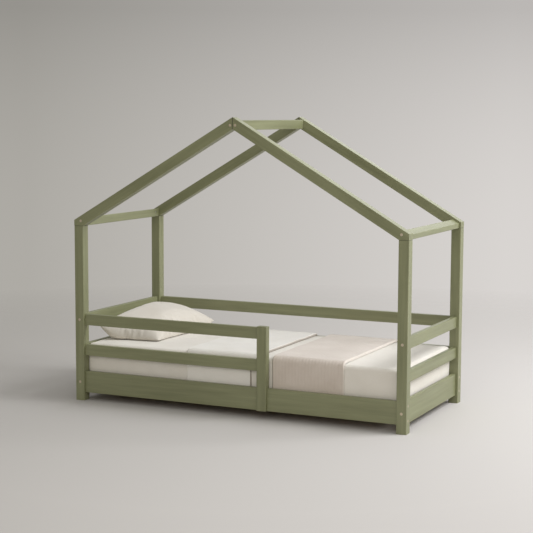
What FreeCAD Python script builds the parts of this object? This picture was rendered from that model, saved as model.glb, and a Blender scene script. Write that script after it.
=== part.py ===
import FreeCAD, Part
import os
import re
import Sketcher

# House-frame toddler bed. Millimetres, +Z up. The origin is on the floor under the middle of the
# bed. The head end is at -X and the foot end at +X. The front, which has the way in, is at -Y.

SIZES = {
    # The outside of the frame.
    "frame_length": (1680, "outside length over the posts, along X"),
    "frame_width": (780, "outside width over the posts, along Y"),
    "post_width": (47, "side of the square corner posts"),
    "post_height": (843, "floor to the seats of the rafters"),
    "edge_radius": (2.5, "rounding of the painted timber's long edges"),
    "joint_chamfer": (1.5, "round the tops of the posts and the rafters' mitres"),
    # The roof.
    "roof_rise": (490, "height of the apex above the rafters' outer top corners"),
    "plumb_end": (27, "height of a rafter's upright outer end"),
    "ridge_width": (47, "ridge beam across the roof"),
    "ridge_height": (44, "ridge beam upright"),
    "ridge_drop": (1, "ridge beam's top edges below the roof's slope"),
    "ridge_bolt_offset": (12.5, "ridge bolts each side of the middle"),
    "eaves_width": (34, "eaves beams along X"),
    "eaves_inset": (10, "eaves beams in from the ends of the frame"),
    "eaves_lift": (-2, "eaves beams' undersides above the post tops"),
    "eaves_drop": (12.5, "eaves beams' bevelled tops below the roof's slope"),
    "eaves_bolt_inset": (35, "eaves bolts in from the ends of the frame"),
    "eaves_bolt_rise": (25, "eaves bolts above the beams' undersides"),
    # Boards and rails.
    "board_thickness": (22, "boards and rails"),
    "board_height": (104, "side boards and end boards"),
    "board_bottom": (38, "floor to the boards' lower edges"),
    "rail_height": (53, "all rails"),
    "mid_rail_bottom": (218, "floor to the middle rails' lower edges"),
    "top_rail_bottom": (365, "floor to the top rails' lower edges"),
    "guard_post_place": (147, "middle of the guard post, along X"),
    "guard_post_width": (48, "guard post along X"),
    "guard_post_rise": (6, "guard post's top above the top rails"),
    # The slatted base.
    "ledge_width": (20, "slat ledges, across"),
    "ledge_height": (35, "slat ledges, upright"),
    "ledge_bottom": (69, "floor to the slat ledges"),
    "ledge_clearance": (1, "slat ledges' ends to the posts"),
    "slat_width": (60, "slats along X"),
    "slat_thickness": (15, "slats upright"),
    "slat_radius": (3, "rounding of the slats' long edges"),
    "slat_clearance": (3, "slats' ends to the side boards"),
    "slat_end_gap": (20, "outermost slats to the posts"),
    "tape_width": (25, "webbing tapes under the slats"),
    "tape_thickness": (1.5, "webbing tapes"),
    "tape_place": (170, "webbing tapes each side of the middle"),
    # Fasteners.
    "bolt_radius": (3, "shank of every bolt"),
    "bolt_length": (85, "every bolt, over its head"),
    "bolt_head_radius": (6.5, "flat bolt head"),
    "bolt_head_height": (2.5, "flat bolt head"),
    "bolt_head_rounding": (0.5, "rim of a bolt head"),
    "bolt_recess": (0.4, "bolt heads below the wood"),
    "bolt_clearance": (0.3, "round a bolt in its hole"),
    "socket_radius": (2.3, "hexagon socket in a bolt head, to its corners"),
    "socket_depth": (1.8, "hexagon socket in a bolt head"),
    "side_bolt_spread": (33, "side boards' bolts above and below their middle"),
    "nut_radius": (5, "barrel nuts"),
    "nut_length": (14, "barrel nuts"),
    "nut_clearance": (0.1, "round a barrel nut, and round a bolt in its nut"),
    "nut_slot": (1, "screwdriver slot in a barrel nut, across and deep"),
    "nut_depth": (30, "barrel nuts in from the end of their timber"),
    "dowel_radius": (4, "dowels"),
    "dowel_chamfer": (1, "dowels' ends"),
    "dowel_in_post": (18, "dowel hole in a post"),
    "dowel_in_rail": (22, "dowel hole in a rail, board or rafter"),
    "dowel_clearance": (0.05, "round a dowel in its hole"),
    "dowel_end_gap": (0.5, "dowel's ends to the bottoms of its holes"),
    "rail_dowel_spread": (12.5, "rail dowels above and below the rail's middle"),
    "top_dowel_spread": (16, "dowels above and below the bolt of an end top rail"),
    "board_dowel_spread": (20, "end boards' dowels above and below their middle"),
    "screw_radius": (2, "wood screws"),
    "screw_length": (35, "wood screws, over the head"),
    "screw_head_radius": (4, "countersunk screw head"),
    "screw_head_height": (2.5, "countersunk screw head"),
    "screw_point": (4, "tapered point of a screw"),
    "screw_tip_radius": (0.4, "very end of a screw's point"),
    "screw_slot_reach": (2.4, "arms of the cross slot, from the middle"),
    "screw_slot_width": (0.8, "arms of the cross slot, across"),
    "screw_slot_depth": (1.2, "cross slot"),
    "screw_clearance": (0.1, "round a screw in its hole"),
    "guard_screw_length": (30, "screws that hold the guard post's tongue, over the head"),
    "guard_screw_spread": (30, "guard post's screws above and below the board's middle"),
    "ledge_screw_end": (70, "outermost ledge screws in from the ends of the ledge"),
    # Bedding.
    "rest_gap": (0.3, "soft pieces clear of what they lie on"),
    "mattress_height": (160, "mattress"),
    "mattress_clearance": (5.5, "mattress to the boards round it"),
    "mattress_corner": (32, "mattress corners seen from above, at least"),
    "mattress_post_gap": (3, "mattress corner to the post's inner corner, at least"),
    "mattress_edge": (18, "mattress top and bottom edges"),
    "cover_top": (14, "bedcover and throw, on top of the mattress"),
    "cover_side": (4, "bedcover and throw, where they hang beside the mattress"),
    "cover_hem": (12, "bottom hems above the mattress's underside"),
    "cover_edge": (22, "outer rounding of the bedcover and throw over the mattress's edge"),
    "cover_start": (-254, "bedcover's head-side hem, along X"),
    "cover_end": (113, "bedcover's foot-side hem, along X"),
    "throw_start": (184, "throw's head-side hem, along X"),
    "throw_end": (535, "throw's foot-side hem, along X"),
    "pillow_length": (530, "pillow, across the bed"),
    "pillow_width": (344, "pillow, along the bed"),
    "pillow_height": (150, "pillow at its fullest"),
    "pillow_corner": (80, "pillow corners seen from above"),
    "pillow_edge": (62, "pillow top and bottom edges"),
    "pillow_clearance": (12, "pillow to the head rails"),
    "pillow_back_share": (0.32, "share of the spare width that lies behind the pillow"),
}

SLAT_COUNT = 14
LEDGE_SCREW_COUNT = 6
DRILL_LEAD = 1.0  # every drill starts this far outside the wood
START_SIZE = 100.0  # an outline's size before its corners are tied to the sheet

X = FreeCAD.Vector(1, 0, 0)
Y = FreeCAD.Vector(0, 1, 0)
Z = FreeCAD.Vector(0, 0, 1)

ENDS = {"head": -1, "foot": 1}
SIDES = {"front": -1, "back": 1}

# Places that several pieces share, as formulas on the names above.
BOARD_INSET = "((post_width - board_thickness) / 2)"
BOARD_FACE = f"({BOARD_INSET} + board_thickness)"
BOARD_MIDDLE = "(board_bottom + board_height / 2)"
MID_RAIL_MIDDLE = "(mid_rail_bottom + rail_height / 2)"
TOP_RAIL_MIDDLE = "(top_rail_bottom + rail_height / 2)"
SLOPE = "(roof_rise / (frame_length / 2))"
APEX = "(post_height + plumb_end + roof_rise)"
RIDGE_BOTTOM = f"({APEX} - ridge_width / 2 * {SLOPE} - ridge_drop - ridge_height)"
EAVES_BOTTOM = "(post_height + eaves_lift)"
SLAT_BOTTOM = "(ledge_bottom + ledge_height)"
SLAT_SPAN = "(frame_length - 2 * post_width - 2 * slat_end_gap - slat_width)"
MATTRESS_BOTTOM = f"({SLAT_BOTTOM} + slat_thickness + rest_gap)"
MATTRESS_TOP = f"({MATTRESS_BOTTOM} + mattress_height)"
MATTRESS_LENGTH = f"(frame_length - 2 * {BOARD_FACE} - 2 * mattress_clearance)"
MATTRESS_WIDTH = f"(frame_width - 2 * {BOARD_FACE} - 2 * mattress_clearance)"

# A post's inner corner reaches into the mattress's corner, which is rounded enough to clear it.
POST_REACH = f"(post_width - {BOARD_FACE} - mattress_clearance)"
CLEAR_CORNER = f"((sqrt(2) * {POST_REACH} + mattress_post_gap) / (sqrt(2) - 1))"
MATTRESS_CORNER = f"max(mattress_corner; {CLEAR_CORNER})"

WORD = re.compile(r"\b(" + "|".join(SIZES) + r")\b")

doc = FreeCAD.newDocument("toddler_bed")
nodes = []


def make_sheet():
    """Write the driving sizes into a spreadsheet, one aliased cell each."""
    sheet = doc.addObject("Spreadsheet::Sheet", "Sizes")
    for row, (name, (value, note)) in enumerate(SIZES.items(), start=1):
        sheet.set(f"A{row}", name)
        sheet.set(f"B{row}", str(value))
        sheet.setAlias(f"B{row}", name)
        sheet.set(f"C{row}", note)
    doc.recompute()


def bind(thing, where, formula):
    """Tie one property to the sheet: the size names in the formula become its cells."""
    thing.setExpression(where, WORD.sub(r"Sizes.\1", formula))


def end_x(side, inset):
    """X of a point that lies inset from the outside of one end."""
    return f"({side} * (frame_length / 2 - {inset}))"


def side_y(side, inset):
    """Y of a point that lies inset from the outside of the front or the back."""
    return f"({side} * (frame_width / 2 - {inset}))"


def lowest(side, middle_to_outside, inset, size):
    """Lower coordinate of a piece that lies inset from the outside on one side."""
    if side < 0:
        return f"({inset} - {middle_to_outside})"
    return f"({middle_to_outside} - {inset} - {size})"


def lowest_x(side, inset, size):
    return lowest(side, "frame_length / 2", inset, size)


def lowest_y(side, inset, size):
    return lowest(side, "frame_width / 2", inset, size)


def moved(where, way, distance):
    """The place a distance along way from where."""
    return [f"({at} + {step} * {distance})" for at, step in zip(where, way)]


def aim(way, across=None):
    """The turn that points a thing's own Z along way and its own X along across."""
    if across is None:
        across = FreeCAD.Vector(way.z, way.x, way.y)
    return FreeCAD.Rotation(across, way.cross(across), way, "ZXY")


def place(thing, where, turn=FreeCAD.Rotation()):
    """Turn a thing, then tie its position to the sheet."""
    thing.Placement = FreeCAD.Placement(FreeCAD.Vector(), turn)
    for axis, formula in zip("xyz", where):
        bind(thing, f"Placement.Base.{axis}", formula)


class Piece:
    """One piece, drawn in its own frame with its lowest corner at its own origin."""

    planes = {"X": "YZ_Plane", "Y": "XZ_Plane", "Z": "XY_Plane"}

    def __init__(self, label, corner, half_turn=False, keep=True):
        self.body = doc.addObject("PartDesign::Body", label)
        self.body.Label = label
        self.corner = corner
        self.sign = -1 if half_turn else 1
        place(self.body, corner, FreeCAD.Rotation(Z, 180 if half_turn else 0))
        if keep:
            nodes.append(self.body)

    def feature(self, kind, name):
        return self.body.newObject(f"PartDesign::{kind}", f"{self.body.Label}_{name}")

    def outline(self, along, corners, name="outline"):
        """A closed outline of straight lines, square to one axis, tied corner by corner."""
        sketch = self.body.newObject("Sketcher::SketchObject", f"{self.body.Label}_{name}")
        role = self.planes[along]
        plane = next(item for item in self.body.Origin.OriginFeatures if item.Role == role)
        sketch.AttachmentSupport = (plane, [""])
        sketch.MapMode = "FlatFace"
        count = len(corners)
        start = [FreeCAD.Rotation(Z, 360 * i / count).multVec(X) * START_SIZE for i in range(count)]
        for i in range(count):
            sketch.addGeometry(Part.LineSegment(start[i], start[(i + 1) % count]), False)
        for i in range(count):
            sketch.addConstraint(Sketcher.Constraint("Coincident", i, 2, (i + 1) % count, 1))
        for i, formulas in enumerate(corners):
            for letter, own_axis, formula in zip("XY", (-2, -1), formulas):
                self.tie_corner(sketch, i, letter, own_axis, formula)
        return sketch

    @staticmethod
    def tie_corner(sketch, corner, letter, own_axis, formula):
        """Hold one corner at a distance from one of the sketch's axes, or on that axis."""
        if formula == "0":
            sketch.addConstraint(Sketcher.Constraint("PointOnObject", corner, 1, own_axis))
            return
        distance = Sketcher.Constraint(f"Distance{letter}", -1, 1, corner, 1, START_SIZE)
        name = f"corner_{corner}_{letter.lower()}"
        sketch.renameConstraint(sketch.addConstraint(distance), name)
        bind(sketch, f"Constraints.{name}", formula)

    def pad(self, along, corners, length):
        """Give an outline its thickness, towards the axis's positive side."""
        sketch = self.outline(along, corners)
        pad = self.feature("Pad", "pad")
        pad.Profile = sketch
        pad.Reversed = along == "Y"
        bind(pad, "Length", length)
        doc.recompute()
        return self

    def block(self, along, length, width, height):
        """A plain rectangular piece, sawn to length along one axis."""
        across = {"X": (width, height), "Y": (length, height), "Z": (length, width)}[along]
        wide, tall = across
        long = {"X": length, "Y": width, "Z": height}[along]
        corners = [("0", "0"), (wide, "0"), (wide, tall), ("0", tall)]
        return self.pad(along, corners, long)

    def cut_outline(self, along, corners, length):
        """Take an outline out of the piece along the axis."""
        sketch = self.outline(along, corners, "hollow")
        pocket = self.feature("Pocket", "pocket")
        pocket.Profile = sketch
        pocket.Reversed = along != "Y"
        bind(pocket, "Length", length)
        doc.recompute()
        return self

    def round_edges(self, radius, wanted, name="rounding"):
        """Round every edge of the piece that wanted picks out."""
        base = self.body.Tip
        edges = base.Shape.Edges
        names = [f"Edge{i}" for i, edge in enumerate(edges, start=1) if wanted(edge)]
        fillet = self.feature("Fillet", name)
        fillet.Base = (base, names)
        bind(fillet, "Radius", radius)
        doc.recompute()
        return self

    def chamfer_edges(self, size, wanted):
        """Cut a narrow slope along every edge of the piece that wanted picks out."""
        base = self.body.Tip
        edges = base.Shape.Edges
        names = [f"Edge{i}" for i, edge in enumerate(edges, start=1) if wanted(edge)]
        chamfer = self.feature("Chamfer", "chamfer")
        chamfer.Base = (base, names)
        bind(chamfer, "Size", size)
        doc.recompute()
        return self

    def cut_round(self, kind, name, where, way, sizes):
        """Take a cylinder, cone or prism out of the piece, at a place given in the bed's frame."""
        cut = self.feature(kind, name)
        own = FreeCAD.Vector(way.x * self.sign, way.y * self.sign, way.z)
        turns = (self.sign, self.sign, 1)
        local = [f"{turn} * ({at} - {low})" for turn, at, low in zip(turns, where, self.corner)]
        place(cut, local, aim(own))
        for size, formula in sizes.items():
            bind(cut, size, formula)

    def drill(self, where, way, radius, depth):
        """Drill from where, along way."""
        start = moved(where, way, -DRILL_LEAD)
        sizes = {"Radius": radius, "Height": f"{depth} + {DRILL_LEAD}"}
        self.cut_round("SubtractiveCylinder", "hole", start, way, sizes)

    def countersink(self, where, way):
        """Let a screw's head into the wood."""
        sizes = {
            "Radius1": "screw_head_radius + screw_clearance",
            "Radius2": "screw_radius + screw_clearance",
            "Height": "screw_head_height",
        }
        self.cut_round("SubtractiveCone", "countersink", where, way, sizes)


def runs_along(axis):
    """Picks straight edges parallel to an axis."""
    def wanted(edge):
        if edge.Curve.TypeId != "Part::GeomLine":
            return False
        return abs(abs(edge.Curve.Direction.dot(axis)) - 1) < 1e-6
    return wanted


def lies_across(axis, distance):
    """Picks edges in the plane at a distance along an axis."""
    def wanted(edge):
        return all(abs(vertex.Point.dot(axis) - distance) < 1e-6 for vertex in edge.Vertexes)
    return wanted


def timber(label, along, corner, size, half_turn=False):
    """A planed bar or board whose long edges are rounded."""
    axis = {"X": X, "Y": Y, "Z": Z}[along]
    piece = Piece(label, corner, half_turn).block(along, *size)
    return piece.round_edges("edge_radius", runs_along(axis))


# ---------------------------------------------------------------- the painted frame


def make_posts():
    """Four square corner posts, which stand on the floor."""
    posts = {}
    size = ("post_width", "post_width", "post_height")
    for side, y_side in SIDES.items():
        for end, x_side in ENDS.items():
            corner = (lowest_x(x_side, "0", "post_width"), lowest_y(y_side, "0", "post_width"), "0")
            post = timber(f"post_{side}_{end}", "Z", corner, size)
            top = post.body.Tip.Shape.BoundBox.ZMax
            posts[end, side] = post.chamfer_edges("joint_chamfer", lies_across(Z, top))
    return posts


def make_rafters():
    """Four rafters: plumb at the eaves, seated on the posts and mitred at the apex."""
    half = "(frame_length / 2)"
    under = f"({APEX} - plumb_end - post_width * {SLOPE})"
    corners = [
        (half, "post_height"),
        (half, "post_height + plumb_end"),
        ("0", APEX),
        ("0", under),
        (f"{half} - post_width", "post_height"),
    ]

    def long_edge(edge):
        if edge.Curve.TypeId != "Part::GeomLine":
            return False
        way = edge.Curve.Direction
        return min(abs(way.x), abs(way.z)) > 0.1

    rafters = {}
    for side, y_side in SIDES.items():
        for end, x_side in ENDS.items():
            half_turn = x_side < 0
            low = lowest_y(y_side, "0", "post_width")
            y = f"({low} + post_width)" if half_turn else low
            piece = Piece(f"rafter_{side}_{end}", ("0", y, "0"), half_turn)
            piece.pad("Y", corners, "post_width").round_edges("edge_radius", long_edge)
            rafters[end, side] = piece.chamfer_edges("joint_chamfer", lies_across(X, 0))
    return rafters


def make_ridge_beam():
    """The beam between the two apexes."""
    corner = ("(-ridge_width / 2)", "(post_width - frame_width / 2)", RIDGE_BOTTOM)
    size = ("ridge_width", "frame_width - 2 * post_width", "ridge_height")
    return timber("ridge_beam", "Y", corner, size)


def make_eaves_beams():
    """The beams between the rafters' feet, their tops bevelled to the roof's slope."""
    low = f"(plumb_end + eaves_inset * {SLOPE} - eaves_drop - eaves_lift)"
    high = f"({low} + eaves_width * {SLOPE})"
    corners = [("0", "0"), ("eaves_width", "0"), ("eaves_width", low), ("0", high)]
    beams = {}
    for end, x_side in ENDS.items():
        x = end_x(x_side, "eaves_inset - eaves_width")
        y = f"({x_side} * (post_width - frame_width / 2))"
        piece = Piece(f"eaves_beam_{end}", (x, y, EAVES_BOTTOM), x_side < 0)
        piece.pad("Y", corners, "frame_width - 2 * post_width")
        beams[end] = piece.round_edges("edge_radius", runs_along(Y))
    return beams


def make_end_timbers():
    """The board, the middle rail and the top rail of each end."""
    timbers = {}
    heights = {
        "end_board": ("board_bottom", "board_height"),
        "mid_rail": ("mid_rail_bottom", "rail_height"),
        "top_rail": ("top_rail_bottom", "rail_height"),
    }
    for end, x_side in ENDS.items():
        for kind, (bottom, height) in heights.items():
            x = lowest_x(x_side, BOARD_INSET, "board_thickness")
            corner = (x, "(post_width - frame_width / 2)", bottom)
            size = ("board_thickness", "frame_width - 2 * post_width", height)
            timbers[end, kind] = timber(f"{end}_{kind}", "Y", corner, size)
    return timbers


def make_side_boards():
    """The long boards between the posts."""
    boards = {}
    for side, y_side in SIDES.items():
        y = lowest_y(y_side, BOARD_INSET, "board_thickness")
        corner = ("(post_width - frame_length / 2)", y, "board_bottom")
        size = ("frame_length - 2 * post_width", "board_thickness", "board_height")
        boards[side] = timber(f"side_board_{side}", "X", corner, size)
    return boards


def make_long_rails():
    """Two rails along the back, and two guard rails along the head half of the front."""
    rails = {}
    start = "(post_width - frame_length / 2)"
    lengths = {
        "back": "(frame_length - 2 * post_width)",
        "front": f"(guard_post_place - guard_post_width / 2 - {start})",
    }
    labels = {"back": "back", "front": "guard"}
    bottoms = {"mid_rail": "mid_rail_bottom", "top_rail": "top_rail_bottom"}
    for side, length in lengths.items():
        for kind, bottom in bottoms.items():
            corner = (start, lowest_y(SIDES[side], BOARD_INSET, "board_thickness"), bottom)
            size = (length, "board_thickness", "rail_height")
            rails[side, kind] = timber(f"{labels[side]}_{kind}", "X", corner, size)
    return rails


def make_guard_post():
    """The short post that ends the guard rails: it stands on the side board, and its tongue
    comes down in front of the board."""
    drop = "(board_bottom + board_height)"
    top = "(top_rail_bottom + rail_height + guard_post_rise)"
    corner = ("(guard_post_place - guard_post_width / 2)", "(-frame_width / 2)", "board_bottom")
    corners = [
        ("0", "0"),
        (BOARD_INSET, "0"),
        (BOARD_INSET, f"{drop} - board_bottom"),
        (BOARD_FACE, f"{drop} - board_bottom"),
        (BOARD_FACE, f"{top} - board_bottom"),
        ("0", f"{top} - board_bottom"),
    ]
    piece = Piece("guard_post", corner).pad("X", corners, "guard_post_width")
    shape = piece.body.Tip.Shape
    crown = shape.BoundBox.ZMax
    front = shape.BoundBox.YMin
    back = shape.BoundBox.YMax

    def exposed(edge):
        middle = edge.CenterOfMass
        upright = runs_along(Z)(edge) and min(abs(middle.y - front), abs(middle.y - back)) < 0.01
        return upright or abs(middle.z - crown) < 0.01

    return piece.round_edges("edge_radius", exposed)


# ---------------------------------------------------------------- the slatted base


def make_ledges():
    """The battens on the side boards that carry the slats."""
    ledges = {}
    for side, y_side in SIDES.items():
        x = "(post_width + ledge_clearance - frame_length / 2)"
        corner = (x, lowest_y(y_side, BOARD_FACE, "ledge_width"), "ledge_bottom")
        size = ("frame_length - 2 * post_width - 2 * ledge_clearance", "ledge_width", "ledge_height")
        ledges[side] = Piece(f"slat_ledge_{side}", corner).block("X", *size)
    return ledges


def slat_x(index):
    """Middle of one slat."""
    return f"({SLAT_SPAN} * {index / (SLAT_COUNT - 1) - 0.5})"


def make_slats():
    """Slats across the bed, loose on the ledges apart from the two at the ends."""
    slats = []
    width = f"(frame_width - 2 * {BOARD_FACE} - 2 * slat_clearance)"
    for index in range(SLAT_COUNT):
        corner = (f"({slat_x(index)} - slat_width / 2)", f"(-{width} / 2)", SLAT_BOTTOM)
        slat = Piece(f"slat_{index + 1:02d}", corner)
        slat.block("Y", "slat_width", width, "slat_thickness")
        slats.append(slat.round_edges("slat_radius", runs_along(Y)))
    return slats


def make_tapes():
    """Two webbing tapes, bonded under the slats, that keep their spacing."""
    for side, y_side in SIDES.items():
        tape = doc.addObject("Part::Box", f"slat_tape_{side}")
        tape.Label = f"slat_tape_{side}"
        length = f"({SLAT_SPAN} + slat_width)"
        bind(tape, "Length", length)
        bind(tape, "Width", "tape_width")
        bind(tape, "Height", "tape_thickness")
        y = f"({y_side} * tape_place - tape_width / 2)"
        place(tape, (f"(-{length} / 2)", y, f"({SLAT_BOTTOM} - tape_thickness)"))
        nodes.append(tape)


# ---------------------------------------------------------------- the fasteners


class Fastener:
    """One kind of fastener, drawn once along its own +Z, and the groups of copies of it."""

    def __init__(self, label):
        self.piece = Piece(label, ("0", "0", "0"), keep=False)
        self.groups = {}

    def solid(self, kind, name, sizes, height="0", turn=FreeCAD.Rotation()):
        """Add or take away one plain solid."""
        feature = self.piece.feature(kind, name)
        place(feature, ("0", "0", height), turn)
        for size, formula in sizes.items():
            bind(feature, size, formula)

    def copy(self, group, where, turn):
        """Put one copy at a place in the bed."""
        copies = self.groups.setdefault(group, [])
        link = doc.addObject("App::Link", f"{group}_{len(copies) + 1}")
        link.LinkedObject = self.piece.body
        place(link, where, turn)
        copies.append(link)

    def finish(self):
        """Gather each group of copies into one node."""
        for group, copies in self.groups.items():
            node = doc.addObject("Part::Compound", group)
            node.Label = group
            node.Links = copies
            nodes.append(node)


def draw_bolt():
    """A flat-headed connector bolt with a hexagon socket. Its head's face is at Z = 0."""
    bolt = Fastener("one_bolt")
    head = {"Radius": "bolt_head_radius", "Height": "bolt_head_height"}
    bolt.solid("AdditiveCylinder", "head", head)
    shank = {"Radius": "bolt_radius", "Height": "bolt_length"}
    bolt.solid("AdditiveCylinder", "shank", shank)
    socket = bolt.piece.feature("SubtractivePrism", "socket")
    socket.Polygon = 6
    bind(socket, "Circumradius", "socket_radius")
    bind(socket, "Height", "socket_depth")
    doc.recompute()

    def rim(edge):
        return edge.BoundBox.ZMax < 0.01 and edge.BoundBox.XLength > SIZES["bolt_radius"][0] * 3

    bolt.piece.round_edges("bolt_head_rounding", rim)
    return bolt


def draw_nut():
    """A barrel nut: its own Z is the barrel's axis, and the bolt crosses it along X."""
    nut = Fastener("one_barrel_nut")
    barrel = {"Radius": "nut_radius", "Height": "nut_length"}
    nut.solid("AdditiveCylinder", "barrel", barrel, "-nut_length / 2")
    bore = nut.piece.feature("SubtractiveCylinder", "bore")
    place(bore, ("-2 * nut_radius", "0", "0"), aim(X))
    bind(bore, "Radius", "bolt_radius + nut_clearance")
    bind(bore, "Height", "4 * nut_radius")
    slot = nut.piece.feature("SubtractiveBox", "slot")
    place(slot, ("-nut_radius", "-nut_slot / 2", "nut_length / 2 - nut_slot"))
    bind(slot, "Length", "2 * nut_radius")
    bind(slot, "Width", "nut_slot")
    bind(slot, "Height", "2 * nut_slot")
    doc.recompute()
    return nut


def draw_dowel():
    """A wooden dowel with chamfered ends. Z = 0 is where the two timbers meet."""
    dowel = Fastener("one_dowel")
    chamfer = "dowel_chamfer"
    low = "(dowel_in_post - dowel_end_gap)"
    high = "(dowel_in_rail - dowel_end_gap)"
    core = {"Radius": "dowel_radius", "Height": f"{low} + {high} - 2 * {chamfer}"}
    dowel.solid("AdditiveCylinder", "core", core, f"{chamfer} - {low}")
    narrow = f"dowel_radius - {chamfer}"
    tip = {"Radius1": narrow, "Radius2": "dowel_radius", "Height": chamfer}
    dowel.solid("AdditiveCone", "tip", tip, f"-{low}")
    tail = {"Radius1": "dowel_radius", "Radius2": narrow, "Height": chamfer}
    dowel.solid("AdditiveCone", "tail", tail, f"{high} - {chamfer}")
    doc.recompute()
    return dowel


def draw_screw(label, length):
    """A countersunk wood screw with a cross slot. Its head's face is at Z = 0."""
    screw = Fastener(label)
    radius = "screw_radius"
    head = {"Radius1": "screw_head_radius", "Radius2": radius, "Height": "screw_head_height"}
    screw.solid("AdditiveCone", "head", head)
    shank = {"Radius": radius, "Height": f"{length} - screw_point - screw_head_height"}
    screw.solid("AdditiveCylinder", "shank", shank, "screw_head_height")
    point = {"Radius1": radius, "Radius2": "screw_tip_radius", "Height": "screw_point"}
    screw.solid("AdditiveCone", "point", point, f"{length} - screw_point")
    low = ("-screw_slot_reach", "-screw_slot_width / 2", "-screw_slot_depth")
    crossed = ("screw_slot_width / 2", "-screw_slot_reach", "-screw_slot_depth")
    for name, turn, corner in (("slot", 0, low), ("cross", 90, crossed)):
        slot = screw.piece.feature("SubtractiveBox", name)
        place(slot, corner, FreeCAD.Rotation(Z, turn))
        bind(slot, "Length", "2 * screw_slot_reach")
        bind(slot, "Width", "screw_slot_width")
        bind(slot, "Height", "2 * screw_slot_depth")
    doc.recompute()
    return screw


def bolt_joint(kit, group, outer, inner, where, way, nut_way, half):
    """A recessed bolt from the outside of one timber into the end of another, which holds the
    barrel nut. The nut goes in along nut_way, from a face that is half a timber away."""
    hole = "bolt_radius + bolt_clearance"
    outer.drill(where, way, "bolt_head_radius + bolt_clearance", "bolt_head_height + bolt_recess")
    outer.drill(where, way, hole, f"post_width + {DRILL_LEAD}")
    inner.drill(where, way, hole, "bolt_recess + bolt_length + bolt_clearance")
    kit["bolt"].copy(f"{group}_bolts", moved(where, way, "bolt_recess"), aim(way))
    middle = moved(where, way, "(post_width + nut_depth)")
    mouth = moved(middle, nut_way, f"-{half}")
    inner.drill(mouth, nut_way, "nut_radius + nut_clearance", f"{half} + nut_length / 2")
    kit["nut"].copy(f"{group}_barrel_nuts", middle, aim(-nut_way, way))


def dowel_joint(kit, group, post, rail, where, way):
    """A dowel across the joint between a post and the end of a rail, way pointing at the rail."""
    hole = "dowel_radius + dowel_clearance"
    post.drill(where, -way, hole, "dowel_in_post")
    rail.drill(where, way, hole, "dowel_in_rail")
    kit["dowel"].copy(f"{group}_dowels", where, aim(way))


def screw_joint(kit, kind, group, first, second, where, way, length):
    """A countersunk screw through one timber into another."""
    hole = "screw_radius + screw_clearance"
    depth = f"{length} + screw_clearance"
    first.drill(where, way, hole, depth)
    first.countersink(where, way)
    second.drill(where, way, hole, depth)
    kit[kind].copy(group, where, aim(way))


def fasten_ends(kit, posts, timbers):
    """Each end's timbers meet its posts: the board and the top rail on bolts and dowels, the
    middle rail on dowels."""
    for (end, side), post in posts.items():
        way = Y * -SIDES[side]
        x = end_x(ENDS[end], "post_width / 2")
        inward = X * -ENDS[end]
        for kind, middle in (("end_board", BOARD_MIDDLE), ("top_rail", TOP_RAIL_MIDDLE)):
            inner = timbers[end, kind]
            outside = (x, side_y(SIDES[side], "0"), middle)
            bolt_joint(kit, "end", post, inner, outside, way, -inward, "board_thickness / 2")
        spreads = {
            "end_board": (BOARD_MIDDLE, "board_dowel_spread"),
            "mid_rail": (MID_RAIL_MIDDLE, "rail_dowel_spread"),
            "top_rail": (TOP_RAIL_MIDDLE, "top_dowel_spread"),
        }
        for kind, (middle, spread) in spreads.items():
            for up in (-1, 1):
                where = (x, side_y(SIDES[side], "post_width"), f"({middle} + {up} * {spread})")
                dowel_joint(kit, "end", post, timbers[end, kind], where, way)


def fasten_sides(kit, posts, boards, rails, guard_post):
    """The side boards meet the posts on bolts, and the long rails on dowels."""
    for (end, side), post in posts.items():
        way = X * -ENDS[end]
        y = side_y(SIDES[side], "post_width / 2")
        outward = Y * SIDES[side]
        for up in (-1, 1):
            where = (end_x(ENDS[end], "0"), y, f"({BOARD_MIDDLE} + {up} * side_bolt_spread)")
            board = boards[side]
            bolt_joint(kit, "side", post, board, where, way, outward, "board_thickness / 2")
    for (side, kind), rail in rails.items():
        middle = {"mid_rail": MID_RAIL_MIDDLE, "top_rail": TOP_RAIL_MIDDLE}[kind]
        y = side_y(SIDES[side], "post_width / 2")
        for up in (-1, 1):
            z = f"({middle} + {up} * rail_dowel_spread)"
            where = (end_x(ENDS["head"], "post_width"), y, z)
            dowel_joint(kit, "rail", posts["head", side], rail, where, X)
            if side == "back":
                where = (end_x(ENDS["foot"], "post_width"), y, z)
                dowel_joint(kit, "rail", posts["foot", side], rail, where, -X)
            else:
                where = ("(guard_post_place - guard_post_width / 2)", y, z)
                dowel_joint(kit, "rail", guard_post, rail, where, -X)


def fasten_roof(kit, posts, rafters, ridge_beam, eaves_beams):
    """Rafters stand on dowels in the post tops, and are bolted to the ridge and eaves beams."""
    ridge_middle = f"({RIDGE_BOTTOM} + ridge_height / 2)"
    inner_wood = "(eaves_inset + eaves_width - eaves_bolt_inset)"
    for (end, side), rafter in rafters.items():
        x_side = ENDS[end]
        way = Y * -SIDES[side]
        outside = side_y(SIDES[side], "0")
        x = end_x(x_side, "post_width / 2")
        seat = (x, side_y(SIDES[side], "post_width / 2"), "post_height")
        dowel_joint(kit, "rafter", posts[end, side], rafter, seat, Z)
        eaves_x = end_x(x_side, "eaves_bolt_inset")
        where = (eaves_x, outside, f"({EAVES_BOTTOM} + eaves_bolt_rise)")
        beam = eaves_beams[end]
        bolt_joint(kit, "roof", rafter, beam, where, way, X * x_side, inner_wood)
        where = (f"({x_side} * ridge_bolt_offset)", outside, ridge_middle)
        bolt_joint(kit, "roof", rafter, ridge_beam, where, way, Z, "ridge_height / 2")


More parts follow.
